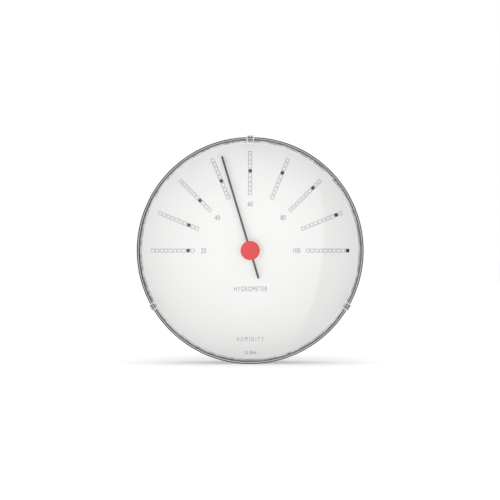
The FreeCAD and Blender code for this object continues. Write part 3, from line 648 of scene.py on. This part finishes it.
class HYGRO_OT_clear(bpy.types.Operator):
    """Finish the domed glass and the clips that hold it"""

    bl_idname = "hygrometer.clear"
    bl_label = "Glass and clips"

    def execute(self, context):
        low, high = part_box("glass_dome")
        rim = (high.x - low.x) / 2 - 0.02 * MM
        # The glass greys from a radius on: painted shade that darkens the dial towards the rim, besides the
        # tint of its ground edge.
        edge_and_painted_shade = beyond(rim, GLASS_PAINTED_SHADE_START, GLASS_PAINTED_SHADE_SHARE)
        glass = clear_surface(
            "domed glass", GLASS_TINT, GLASS_EDGE_AND_SHADE_TINT, edge_and_painted_shade, GLASS_ROUGHNESS, GLASS_HEAD_ON,
        )
        dress(glass, "glass_dome")
        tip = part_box("glass_clip_top")[0]
        outline = along_clip(tip.z, -tip.x)
        clip = clear_surface("clip plastic", CLIP_TINT, CLIP_EDGE_SHADE_TINT, outline, CLIP_ROUGHNESS, CLIP_HEAD_ON)
        # Paint a highlight on the clips' edges.
        paint_highlight(clip, outline, CLIP_PAINTED_HIGHLIGHT)
        dress(clip, "glass_clip_top", "glass_clip_right", "glass_clip_left")
        return {"FINISHED"}


class HYGRO_OT_dial(bpy.types.Operator):
    """Finish the dial and print its columns of squares"""

    bl_idname = "hygrometer.dial"
    bl_label = "Dial and scale"

    def execute(self, context):
        settings = context.scene.hygrometer_dial
        dress(lacquered_dial(settings.lacquer), "dial_plate")
        outlines, fills = bmesh.new(), bmesh.new()
        pitch = (settings.outer_radius - settings.inner_radius) / (settings.squares - 1)
        upright = Matrix.Rotation(math.radians(90), 4, "X")
        for column in range(SCALE_COLUMNS):
            degrees = SCALE_START - SCALE_STEP * column
            # Each column's filled square is one further out than that of the column before.
            filled = settings.squares - 2 - column
            for step in range(settings.squares):
                place = on_dial(settings.outer_radius - pitch * step, degrees)
                turned = Matrix.Rotation(math.radians(-degrees), 4, "Y")
                matrix = Matrix.Translation(place) @ turned @ upright
                bm = fills if step == filled else outlines
                bmesh.ops.create_grid(bm, x_segments=1, y_segments=1, size=settings.square / 2, matrix=matrix)
        faces = outlines.faces[:]
        bmesh.ops.inset_individual(outlines, faces=faces, thickness=settings.line, depth=0)
        bmesh.ops.delete(outlines, geom=faces, context="FACES")
        ink_plane(outlines, "scale_outlines", printed("grey scale ink", settings.grey_ink))
        ink_plane(fills, "scale_filled", printed("black scale ink", settings.ink))
        return {"FINISHED"}


def lettering(name, text, height, width, place, spacing, weight, material):
    """A word or number printed upright on the dial, centred on a place.

    Without a width it is squeezed a little.
    """
    curve = bpy.data.curves.new(name, "FONT")
    curve.body = text
    curve.space_character = spacing
    curve.offset = weight
    curve.resolution_u = 6
    draft = bpy.data.objects.new(name + "_draft", curve)
    bpy.context.scene.collection.objects.link(draft)
    bpy.context.view_layer.update()
    mesh = bpy.data.meshes.new_from_object(draft.evaluated_get(bpy.context.evaluated_depsgraph_get()))
    bpy.data.objects.remove(draft)
    bm = bmesh.new()
    bm.from_mesh(mesh)
    bpy.data.meshes.remove(mesh)
    low = Vector((min(v.co.x for v in bm.verts), min(v.co.y for v in bm.verts)))
    high = Vector((max(v.co.x for v in bm.verts), max(v.co.y for v in bm.verts)))
    tall = height / (high.y - low.y)
    wide = width / (high.x - low.x) if width else tall * NUMBER_SQUEEZE
    middle = (low + high) / 2
    matrix = (
        Matrix.Translation(place)
        @ Matrix.Rotation(math.radians(90), 4, "X")
        @ Matrix.Diagonal((wide, tall, 1, 1))
        @ Matrix.Translation((-middle.x, -middle.y, 0))
    )
    bmesh.ops.transform(bm, matrix=matrix, verts=bm.verts)
    bmesh.ops.remove_doubles(bm, verts=bm.verts, dist=0.002 * MM)
    ink_plane(bm, name, material)


class HYGRO_OT_lettering(bpy.types.Operator):
    """Print the numbers, the name of the quantity and its unit"""

    bl_idname = "hygrometer.lettering"
    bl_label = "Numbers and words"

    def execute(self, context):
        settings = context.scene.hygrometer_dial
        grey = printed("grey number ink", settings.grey_ink)
        pale = printed("pale word ink", shaded(settings.grey_ink, 1.9))
        for text, degrees in NUMBERS.items():
            place = on_dial(settings.number_radius, degrees)
            lettering(
                "number_" + text, text, settings.number_height, None, place,
                NUMBER_SPACING, INK_WEIGHT, grey,
            )
        for name, text, height, width, across, up, spacing, weight in WORDS:
            place = Vector((across * MM, DIAL_FACE, up * MM))
            lettering(name, text, height * MM, width * MM, place, spacing, weight, pale)
        return {"FINISHED"}


class HYGRO_OT_stage(bpy.types.Operator):
    """Set the camera, the floor, the lights and the card that the glass reflects"""

    bl_idname = "hygrometer.stage"
    bl_label = "Stage"

    def execute(self, context):
        settings = context.scene.hygrometer_stage
        scene = context.scene
        scene.view_settings.view_transform = "Standard"
        camera_data = bpy.data.cameras.new("camera")
        camera = bpy.data.objects.new("camera", camera_data)
        scene.collection.objects.link(camera)
        camera.location = (CAMERA_SIDE, RIM_FRONT - settings.distance, CAMERA_UP)
        camera.rotation_euler = (math.radians(90), 0, 0)
        camera_data.lens = camera_data.sensor_width * settings.distance / settings.field
        camera_data.clip_end = CLIP_END
        scene.camera = camera

        bm = bmesh.new()
        low = Matrix.Translation((0, 0, FLOOR))
        bmesh.ops.create_grid(bm, x_segments=1, y_segments=1, size=FLOOR_REACH, matrix=low)
        floor = add_object(bm, "floor", self.floor_material())
        floor.visible_glossy = False
        floor.visible_shadow = False

        corners = [
            (x * CARD_REACH, RIM_FRONT - CARD_REACH, z * CARD_REACH) for x, z in CARD_LEFT + CARD_RIGHT
        ]
        self.card("reflection_card", corners, settings.card, CARD_FADE)
        for name, turn, width in SIDE_CARDS:
            matrix = Matrix.Rotation(math.radians(turn), 4, "Z")
            square = ((-1, -1), (1, -1), (1, 1), (-1, 1))
            corners = [
                matrix @ Vector((x * width / 2, -SIDE_CARD_DISTANCE, z * width / 2)) for x, z in square
            ]
            self.card(name, corners, settings.card * SIDE_CARD_SHARE)

        self.area("overhead", *OVERHEAD_LIGHT, settings.overhead)
        self.area("front_left", *FRONT_LIGHT, settings.front)

        world = bpy.data.worlds.new("studio")
        scene.world = world
        world.use_nodes = True
        tree = world.node_tree
        tree.nodes.clear()
        output = tree.nodes.new("ShaderNodeOutputWorld")
        shades = {}
        for use, colour, strength in (
            ("camera", (1, 1, 1), 1.0),
            ("diffuse", (0.99, 0.995, 1), settings.ambient),
            ("glossy", (1, 1, 1), settings.surroundings),
        ):
            shade = tree.nodes.new("ShaderNodeBackground")
            shade.inputs["Color"].default_value = (*colour, 1)
            shade.inputs["Strength"].default_value = strength
            shades[use] = shade.outputs["Background"]
        path = tree.nodes.new("ShaderNodeLightPath")
        mirrored = tree.nodes.new("ShaderNodeMixShader")
        tree.links.new(path.outputs["Is Glossy Ray"], mirrored.inputs["Fac"])
        tree.links.new(shades["diffuse"], mirrored.inputs[1])
        tree.links.new(shades["glossy"], mirrored.inputs[2])
        mix = tree.nodes.new("ShaderNodeMixShader")
        tree.links.new(path.outputs["Is Camera Ray"], mix.inputs["Fac"])
        tree.links.new(mirrored.outputs["Shader"], mix.inputs[1])
        tree.links.new(shades["camera"], mix.inputs[2])
        tree.links.new(mix.outputs["Shader"], output.inputs["Surface"])
        return {"FINISHED"}

    def card(self, name, corners, strength, fade=1.0):
        """A glowing card that only shiny pieces see, with the share of its glow left where it is farthest."""
        bm = bmesh.new()
        bm.faces.new([bm.verts.new(corner) for corner in corners])
        card = add_object(bm, name, self.card_material(strength, fade))
        card.visible_camera = False
        card.visible_diffuse = False
        card.visible_shadow = False

    def floor_material(self):
        """Matt white paper that glows with painted light, weaker near the dial, which paints a darker shadow
        round the case.
        """
        material, tree, shader = new_material("floor paper")
        fleck = noise(tree, 30, 3.0)
        tree.links.new(ramp(tree, fleck, (0.69, 0.69, 0.69), (0.71, 0.71, 0.71)), shader.inputs["Base Color"])
        shader.inputs["Roughness"].default_value = 0.9
        shader.inputs["Specular IOR Level"].default_value = 0.1
        shader.inputs["Emission Color"].default_value = (1, 1, 1, 1)
        # Painted light: the floor glows less near the dial, which paints its shadow round the case.
        glow = span(tree, self.distance_from_dial(tree), *FLOOR_PAINTED_LIGHT, *FLOOR_PAINTED_LIGHT_SPAN)
        tree.links.new(glow, shader.inputs["Emission Strength"])
        return material

    def distance_from_dial(self, tree):
        """How far a point of the stage is from the dial's middle."""
        coordinates = tree.nodes.new("ShaderNodeTexCoord")
        distance = tree.nodes.new("ShaderNodeVectorMath")
        distance.operation = "LENGTH"
        tree.links.new(coordinates.outputs["Object"], distance.inputs[0])
        return distance.outputs["Value"]

    def card_material(self, strength, fade):
        """A glow that fades with the distance from the dial."""
        material, tree, output = empty_material("reflection card")
        glow = tree.nodes.new("ShaderNodeEmission")
        distance = self.distance_from_dial(tree)
        by_distance = span(tree, distance, strength, strength * fade, CARD_NEAR, CARD_FAR)
        tree.links.new(by_distance, glow.inputs["Strength"])
        tree.links.new(glow.outputs["Emission"], output.inputs["Surface"])
        return material

    def area(self, name, place, target, size, power):
        """A square soft light aimed at a point."""
        light = bpy.data.lights.new(name, "AREA")
        light.size = size
        light.energy = power
        lamp = bpy.data.objects.new(name, light)
        bpy.context.scene.collection.objects.link(lamp)
        lamp.location = place
        lamp.rotation_euler = (Vector(target) - Vector(place)).to_track_quat("-Z", "Y").to_euler()
        lamp.visible_glossy = False
        lamp.visible_camera = False


PIECE_OPERATORS = (
    HYGRO_OT_metal,
    HYGRO_OT_plastic,
    HYGRO_OT_clear,
    HYGRO_OT_dial,
    HYGRO_OT_lettering,
    HYGRO_OT_stage,
)


class HYGRO_PT_panel(bpy.types.Panel):
    """The pieces of the hygrometer"""

    bl_idname = "HYGRO_PT_panel"
    bl_label = "Dial Hygrometer"
    bl_space_type = "VIEW_3D"
    bl_region_type = "UI"
    bl_category = "Hygrometer"

    def draw(self, context):
        for group in ("hygrometer_dial", "hygrometer_materials", "hygrometer_stage"):
            settings = getattr(context.scene, group)
            box = self.layout.box()
            for name in settings.__annotations__:
                box.prop(settings, name)
        for operator in PIECE_OPERATORS:
            self.layout.operator(operator.bl_idname)


CLASSES = (DialSettings, MaterialSettings, StageSettings, *PIECE_OPERATORS, HYGRO_PT_panel)


def register():
    for cls in CLASSES:
        bpy.utils.register_class(cls)
    bpy.types.Scene.hygrometer_dial = bpy.props.PointerProperty(type=DialSettings)
    bpy.types.Scene.hygrometer_materials = bpy.props.PointerProperty(type=MaterialSettings)
    bpy.types.Scene.hygrometer_stage = bpy.props.PointerProperty(type=StageSettings)


def unregister():
    del bpy.types.Scene.hygrometer_stage
    del bpy.types.Scene.hygrometer_materials
    del bpy.types.Scene.hygrometer_dial
    for cls in reversed(CLASSES):
        bpy.utils.unregister_class(cls)


def main():
    register()
    bpy.ops.hygrometer.metal()
    bpy.ops.hygrometer.plastic()
    bpy.ops.hygrometer.clear()
    bpy.ops.hygrometer.dial()
    bpy.ops.hygrometer.lettering()
    bpy.ops.hygrometer.stage()


if __name__ == "__main__":
    main()
